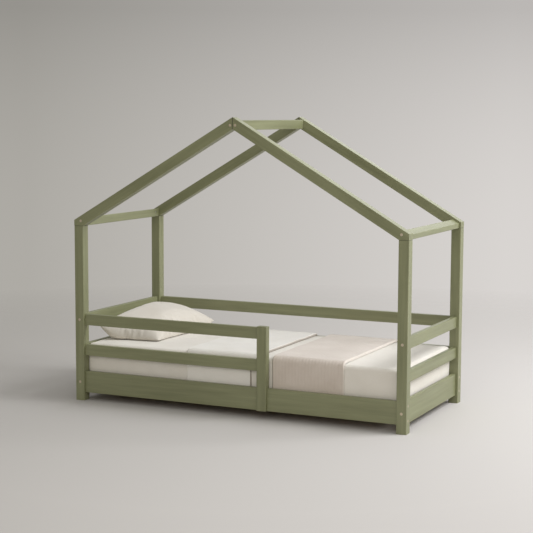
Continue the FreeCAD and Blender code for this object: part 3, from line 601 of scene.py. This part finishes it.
def line_over(half_width, top, radius, bottom):
    """Points up the front, over the top and down the back, as (y, z) pairs."""
    climb = np.linspace(bottom, top - radius, SIDE_STEPS, endpoint=False)
    turn = np.linspace(math.pi, math.pi / 2, TURN_STEPS, endpoint=False)
    reach = half_width - radius
    flat = np.linspace(-reach, reach, TOP_STEPS)
    y = np.concatenate([np.full(SIDE_STEPS, -half_width), -reach + radius * np.cos(turn)])
    z = np.concatenate([climb, top - radius + radius * np.sin(turn)])
    ys = np.concatenate([y, flat, -y[::-1]])
    zs = np.concatenate([z, np.full(TOP_STEPS, top), z[::-1]])
    return np.column_stack([ys, zs])


def outward_of(line):
    """The direction away from the mattress at each point of the line."""
    along = np.gradient(line, axis=0)
    away = np.column_stack([-along[:, 1], along[:, 0]])
    return away / np.linalg.norm(away, axis=1)[:, None]


def closed_sheet(inner, outer):
    """Points and faces of a sheet between two grids of points."""
    rows, columns = inner.shape[:2]
    number = np.arange(rows * columns).reshape(rows, columns)
    def quads(a, b, c, d):
        return np.stack([a, b, c, d], axis=-1).reshape(-1, 4)
    over = quads(number[:-1, :-1], number[1:, :-1], number[1:, 1:], number[:-1, 1:])
    under = over[:, ::-1] + rows * columns
    rim = np.concatenate([number[:, 0], number[-1, 1:], number[-2::-1, -1], number[0, -2:0:-1]])
    following = np.roll(rim, -1)
    wall = quads(following, rim, rim + rows * columns, following + rows * columns)
    points = np.concatenate([outer.reshape(-1, 3), inner.reshape(-1, 3)])
    return points, np.concatenate([over, under, wall])


def lay_over_mattress(name, low, high, columns, relief, edge_round, draw_in, material):
    """A folded band of cloth over the mattress. relief(x, y, z, side) raises its outer face, and
    its foot-side edge draws in by draw_in where the band hangs down."""
    bottom = low[2]
    inner_top = mattress_high[2] + REST_GAP
    inner_half = mattress_high[1] + REST_GAP
    inner_line = line_over(inner_half, inner_top, MATTRESS_EDGE, bottom)
    outer_line = line_over(high[1] - 0.6 * MM, high[2] - 3 * MM, COVER_EDGE, bottom)
    away = outward_of(outer_line)
    x = columns[None, :] + waves(inner_line[:, :1], inner_line[:, 1:] * 2, (0.5, 0.24), 11, 1.2 * MM)
    hang = np.clip((inner_top - inner_line[:, 1:]) / HANG_DEPTH, 0, 1)
    x = x - draw_in * hang * ((columns - low[0]) / (high[0] - low[0])) ** 3
    x = np.clip(x, low[0], high[0])
    from_edge = np.minimum(columns - columns[0], columns[-1] - columns)
    depth = np.clip(from_edge / edge_round, 0, 1)
    fullness = np.maximum(np.sqrt(1 - (1 - depth) ** 2), 0.08)
    side = np.abs(away[:, :1])
    y, z = outer_line[:, :1], outer_line[:, 1:]
    rise = relief(x, y, z, side) * depth
    thick = (outer_line - inner_line)[:, None, :] * fullness[None, :, None]
    section = inner_line[:, None, :] + thick + away[:, None, :] * rise[:, :, None]
    outer = np.concatenate([x[:, :, None], section], axis=2)
    under = np.broadcast_to(inner_line[:, None, :], section.shape)
    inner = np.concatenate([x[:, :, None], under], axis=2)
    points, faces = closed_sheet(inner, outer)
    return make_piece(name, points, faces, material)


def band_columns(low, high, fine, border, count):
    """Places along the bed: close together at the two edges, even between."""
    ends = border * (1 - np.cos(np.linspace(0, math.pi / 2, fine, endpoint=False)))
    return np.concatenate([low + ends, np.linspace(low + border, high - border, count), high - ends[::-1]])


# %% [markdown]
# ## The bedcover
# White cotton, soft and lightly filled, with a stitched edge that shows as a narrow bead. Its top
# has shallow waves, and a small slanting tuck where its head-side edge turns down over the
# mattress.

# %% Make the bedcover
BEAD = 5 * MM


def cover_relief(x, y, z, side):
    """Waves, a bead along each edge, and the tuck."""
    soft = waves(x, y + z, (0.27, 0.19, 0.13, 0.08), 21, 1.8 * MM) * (1 - 0.75 * side)
    from_edge = np.minimum(x - cover_low[0], cover_high[0] - x)
    bead = 1.2 * MM * np.exp(-(((from_edge - BEAD) / (2.2 * MM)) ** 2)) * (1 - 0.6 * side)
    line = (x - cover_low[0] - 14 * MM) - (y - cover_low[1] - 22 * MM) * 0.9
    near = np.exp(-(((y - cover_low[1] - 20 * MM) / (26 * MM)) ** 2))
    return soft + bead + dent(line, 4 * MM, 4.0 * MM) * near * (1 - side)


bedcover = lay_over_mattress(
    "bedcover_folded",
    cover_low,
    cover_high,
    band_columns(cover_low[0], cover_high[0], 8, 9 * MM, 90),
    cover_relief,
    7 * MM,
    COVER_DRAW_IN,
    cover_cotton,
)
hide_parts("bedcover")
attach(bedcover, "bedding")

# %% [markdown]
# ## The ribbed throw
# A beige knitted throw with cords that run across the bed on top and straight down at the sides, a
# wide one and a narrow one in turn. The cords are real shape: the outer face rises and falls along
# the bed, round on top and sharp in the valleys. A plain selvedge runs along each edge.

# %% Make the throw
RIB_PITCH = 16 * MM
SELVEDGE = 7 * MM


def throw_relief(x, y, z, side):
    """Cords between two plain selvedges, over long shallow waves."""
    turn = math.pi * (x - throw_low[0] - SELVEDGE) / RIB_PITCH
    cords = 0.7 * np.abs(np.cos(turn)) ** 0.6 + 0.3 * np.abs(np.cos(2 * turn)) ** 0.6
    from_edge = np.minimum(x - throw_low[0], throw_high[0] - x)
    plain = np.clip((SELVEDGE - from_edge) / (1.5 * MM), 0, 1)
    soft = waves(x, y + z, (0.33, 0.21, 0.15), 31, 1.4 * MM) * (1 - 0.8 * side)
    height = (2.0 - 0.6 * side) * MM
    return soft + height * (cords * (1 - plain) + 0.9 * plain) - 0.9 * MM


rib_count = round((throw_high[0] - throw_low[0] - 2 * SELVEDGE) / RIB_PITCH)
throw = lay_over_mattress(
    "throw_ribbed",
    throw_low,
    throw_high,
    band_columns(throw_low[0], throw_high[0], 8, 7 * MM, rib_count * 14),
    throw_relief,
    7 * MM,
    0,
    throw_cotton,
)
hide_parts("throw")
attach(throw, "bedding")
print(rib_count, "ribs")

# %% [markdown]
# ## The pillow
# Two panels of cotton sewn together round the edge and filled. Before it is filled it is flat and
# larger, and filling draws its sides in between the corners and puckers the cloth along the seam.
# A cloth simulation does the same: the mesh starts as a thin flat bag and air pressure blows it up.
# Hands then smooth a made bed's pillow, so the result is eased halfway back to an even dome.
# It is laid on the bed corner by corner. The foot-side front corner lies on the
# mattress, and the others stand up a little. The underside is pressed flat.

# %% Sew the two panels
PILLOW_ROWS, PILLOW_COLUMNS = 64, 96


def flat_bag(width, length, thickness):
    """Two panels that share their edge points, apart in the middle."""
    u, v = np.meshgrid(np.linspace(-1, 1, PILLOW_ROWS), np.linspace(-1, 1, PILLOW_COLUMNS), indexing="ij")
    puff = thickness * ((1 - np.abs(u) ** 2.6) * (1 - np.abs(v) ** 2.6)) ** 0.62
    x, y = width / 2 * u, length / 2 * v
    top = np.stack([x, y, puff], axis=-1).reshape(-1, 3)
    number = np.arange(len(top)).reshape(u.shape)
    edge = np.zeros(u.shape, bool)
    edge[[0, -1], :] = True
    edge[:, [0, -1]] = True
    below = number.copy()
    below[~edge] = len(top) + np.arange((~edge).sum())
    bottom = np.stack([x, y, -puff], axis=-1)[~edge]

    def quads(grid):
        corners = [grid[:-1, :-1], grid[1:, :-1], grid[1:, 1:], grid[:-1, 1:]]
        return np.stack(corners, axis=-1).reshape(-1, 4)

    return np.concatenate([top, bottom]), np.concatenate([quads(number), quads(below)[:, ::-1]])


def blow_up(piece, pressure, frames):
    """Run the cloth simulation with air pressure and keep its last shape."""
    modifier = piece.modifiers.new("filling", "CLOTH")
    settings = modifier.settings
    settings.use_pressure = True
    settings.uniform_pressure_force = pressure
    settings.effector_weights.gravity = 0
    settings.quality = 6
    settings.mass = 0.3
    settings.tension_stiffness = 15
    settings.compression_stiffness = 12
    settings.shear_stiffness = 5
    settings.bending_stiffness = 2.5
    modifier.point_cache.frame_start = 1
    modifier.point_cache.frame_end = frames
    scene = bpy.context.scene
    for number in range(1, frames + 1):
        scene.frame_set(number)
    filled = piece.evaluated_get(bpy.context.evaluated_depsgraph_get())
    shape = bpy.data.meshes.new_from_object(filled)
    result = np.empty(len(shape.vertices) * 3)
    shape.vertices.foreach_get("co", result)
    piece.modifiers.clear()
    bpy.data.meshes.remove(shape)
    scene.frame_set(1)
    return result.reshape(-1, 3)


# %% Fill the pillow and lay it down
# Each corner's place on the bed: front or back, and the head side or the foot side.
FRONT_HEAD = np.array([-0.794, -0.262])
FRONT_FOOT = np.array([-0.492, -0.196])
BACK_HEAD = np.array([-0.794, 0.297])
BACK_FOOT = np.array([-0.440, 0.292])
SEAM_REST = 4 * MM
LEANS = {"front_head": 78 * MM, "back_foot": 42 * MM, "back_head": 84 * MM}
SOFT_CONTACT = 14 * MM
STEEPNESS = 0.84
CROWNING = 0.10
SOFTNESS = 0.42
PLUMPNESS = 0.95


def seam_height(headward, backward):
    """How far the seam is off the mattress. The foot-side front corner lies on it; the other
    corners stand up."""
    front = LEANS["front_head"] * headward ** 4 * (1 - backward)
    foot = LEANS["back_foot"] * backward ** 4 * (1 - headward)
    return SEAM_REST + front + foot + LEANS["back_head"] * headward * backward


def lay_pillow(points):
    """Move the filled pillow's corners to their places, and press its underside on the mattress."""
    low, high = points.min(axis=0), points.max(axis=0)
    share = (points - low) / (high - low)
    headward, backward = 1 - share[:, 0], share[:, 1]
    front = FRONT_FOOT + headward[:, None] * (FRONT_HEAD - FRONT_FOOT)
    back = BACK_FOOT + headward[:, None] * (BACK_HEAD - BACK_FOOT)
    plan = front + backward[:, None] * (back - front)
    seam = seam_height(headward, backward)
    tallest = PLUMPNESS * (pillow_high[2] - pillow_low[2])
    fullness = points[:, 2] / high[2]
    fullness = np.sign(fullness) * np.abs(fullness) ** STEEPNESS
    off_middle = (share[:, 0] * 2 - 1) ** 2 + (share[:, 1] * 2 - 1) ** 2
    middle = seam_height(0.5, 0.5)
    height = seam + fullness * (tallest - middle) * (1 - CROWNING * off_middle)
    below = height < SOFT_CONTACT
    pressed = SOFT_CONTACT * np.exp((height[below] - SOFT_CONTACT) / SOFT_CONTACT)
    height[below] = pressed
    height = (height - height.min()) / (height.max() - height.min()) * (tallest - REST_GAP)
    return np.column_stack([plan, pillow_low[2] + REST_GAP + height])


def make_pillow():
    size = pillow_high - pillow_low
    points, faces = flat_bag(size[0] * 1.12, size[1] * 1.09, size[2] * 0.28)
    piece = make_piece("pillow_filled", points, faces, pillow_cotton)
    filled = blow_up(piece, 5.0, 24)
    print("pillow once filled:", np.ptp(filled, axis=0))
    scale = np.ptp(filled, axis=0) / np.ptp(points, axis=0)
    points = SOFTNESS * filled + (1 - SOFTNESS) * points * scale
    move_points(piece, lay_pillow(points))
    softer = piece.modifiers.new("softer", "SMOOTH")
    softer.factor = 0.5
    softer.iterations = 2
    finer = piece.modifiers.new("finer", "SUBSURF")
    finer.levels = finer.render_levels = 1
    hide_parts("pillow")
    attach(piece, "pillow_body")
    return piece


pillow = make_pillow()

# %% [markdown]
# ## The floor and the backdrop
# The bed stands in a plain pale studio. The floor is a large disc that takes the bed's shadow. Far
# from the bed it fades out, and the world's own colour shows instead, so floor and wall meet with no
# line. Both get lighter from left to right: that is painted light, standing in for the lamps' falloff
# across the studio.

# %% The floor
FLOOR_RADIUS = 14.0
FADE_FROM, FADE_TO = 1.9, 4.6
LEVEL_X, LEVEL_Y = math.cos(CAMERA_YAW), math.sin(CAMERA_YAW)


def rightward(tree, vector):
    """How far a place or a direction lies towards the lighter side of the studio."""
    parts = add_node(tree, "ShaderNodeSeparateXYZ", {"Vector": vector})
    along = calculate(tree, "MULTIPLY", parts.outputs["X"], LEVEL_X)
    return calculate(tree, "ADD", along, calculate(tree, "MULTIPLY", parts.outputs["Y"], LEVEL_Y)), parts


def studio_floor():
    mesh = bpy.data.meshes.new("floor")
    ring = [(FLOOR_RADIUS * math.cos(a), FLOOR_RADIUS * math.sin(a), 0) for a in np.linspace(0, 2 * math.pi, 97)[:-1]]
    mesh.from_pydata(ring, [], [list(range(len(ring)))])
    floor = bpy.data.objects.new("floor", mesh)
    bpy.context.collection.objects.link(floor)
    material, tree, shader = new_material("studio_floor")
    place = add_node(tree, "ShaderNodeTexCoord").outputs["Object"]
    lateral, _ = rightward(tree, place)
    # Painted light: the floor's colour is darker to the left and lighter to the right.
    share = stretch(tree, lateral, -1.6, 1.4)
    tree.links.new(blend_colours(tree, share, FLOOR_LEFT_SHADED, FLOOR_RIGHT_LIT), shader.inputs["Base Color"])
    shader.inputs["Roughness"].default_value = 0.9
    shader.inputs["Specular IOR Level"].default_value = 0.0
    distance = add_node(tree, "ShaderNodeVectorMath", {0: place}, operation="LENGTH").outputs["Value"]
    fade = stretch(tree, distance, FADE_FROM, FADE_TO)
    seen = add_node(tree, "ShaderNodeLightPath").outputs["Is Camera Ray"]
    clear = add_node(tree, "ShaderNodeBsdfTransparent").outputs[0]
    mix = add_node(tree, "ShaderNodeMixShader", {0: calculate(tree, "MULTIPLY", fade, seen), 1: shader.outputs[0], 2: clear})
    tree.links.new(mix.outputs[0], tree.nodes["Material Output"].inputs["Surface"])
    mesh.materials.append(material)
    return floor


# Painted light: the floor's shaded left colour and its lit right colour.
FLOOR_LEFT_SHADED = (0.510, 0.492, 0.462)
FLOOR_RIGHT_LIT = (0.615, 0.592, 0.568)
floor = studio_floor()

# %% [markdown]
# ## The light
# Soft daylight comes from the foot end, a little from behind, and fills the rest of the studio. The
# world gives the fill: dimmer and warmer near the horizon, brighter overhead. A large lamp at the
# foot end gives the soft shadow to the left, and a weaker one in front lifts the near end. One
# behind the bed shows as a pale gloss on the upper faces of the roof timbers. The camera itself sees
# a backdrop instead of the world's light, with painted light on it: lighter to the right and darker
# towards the top.

# %% The world
FILL_LOW = (0.340, 0.315, 0.262)
FILL_HIGH = (0.53, 0.53, 0.54)
# Painted light on the backdrop: a shaded left colour and a lit right colour.
BACKDROP_LEFT_SHADED = (0.422, 0.406, 0.374)
BACKDROP_RIGHT_LIT = (0.690, 0.663, 0.640)


def studio_world():
    world = bpy.data.worlds.new("studio")
    world.use_nodes = True
    tree = world.node_tree
    tree.nodes.clear()
    direction = add_node(tree, "ShaderNodeTexCoord").outputs["Generated"]
    side, parts = rightward(tree, direction)
    height = parts.outputs["Z"]
    fill = blend_colours(tree, stretch(tree, height, 0.0, 1.0), FILL_LOW, FILL_HIGH)
    tilt = stretch(tree, parts.outputs["X"], -1, 1, 0.75, 1.25)
    light = add_node(tree, "ShaderNodeBackground", {"Color": fill, "Strength": tilt})
    # Painted light: the backdrop gets lighter to the right and darker towards the top.
    wall = blend_colours(tree, stretch(tree, side, -0.17, 0.17), BACKDROP_LEFT_SHADED, BACKDROP_RIGHT_LIT)
    above_floor = stretch(tree, height, -0.115, 0.072)
    painted_dimming = stretch(tree, calculate(tree, "POWER", above_floor, 2.3), 0.0, 1.0, 1.0, 0.72)
    backdrop = add_node(tree, "ShaderNodeBackground", {"Color": wall, "Strength": painted_dimming})
    seen = add_node(tree, "ShaderNodeLightPath").outputs["Is Camera Ray"]
    mix = add_node(tree, "ShaderNodeMixShader", {0: seen, 1: light.outputs[0], 2: backdrop.outputs[0]})
    output = add_node(tree, "ShaderNodeOutputWorld", {"Surface": mix.outputs[0]})
    bpy.context.scene.world = world
    return output


studio_world()

# %% The windows
def window_light(name, place, target, size, power, colour):
    """A large square lamp that faces a point on the bed."""
    data = bpy.data.lights.new(name, "AREA")
    data.energy = power
    data.shape = "SQUARE"
    data.size = size
    data.color = colour
    lamp = bpy.data.objects.new(name, data)
    bpy.context.collection.objects.link(lamp)
    lamp.location = place
    lamp.rotation_euler = (Vector(target) - Vector(place)).to_track_quat("-Z", "Y").to_euler()
    return lamp


window_light("window_at_foot", (4.2, 0.9, 3.9), (0, 0, 0.4), 2.8, 262, (0.960, 0.970, 1.0))
window_light("window_in_front", (1.8, -5.0, 2.5), (-0.1, 0, 0.6), 2.6, 54, (1.0, 0.965, 0.91))
window_light("window_behind", (-0.2, 5.0, 3.3), (0.4, 0, 1.1), 2.6, 34, (1.0, 1.0, 1.0))
low_window = window_light("window_low", (3.0, 3.6, 0.6), (0.8, 0, 0.4), 1.4, 7, (0.96, 0.97, 1.0))
low_window.visible_camera = False
bpy.context.scene.view_settings.view_transform = "Standard"
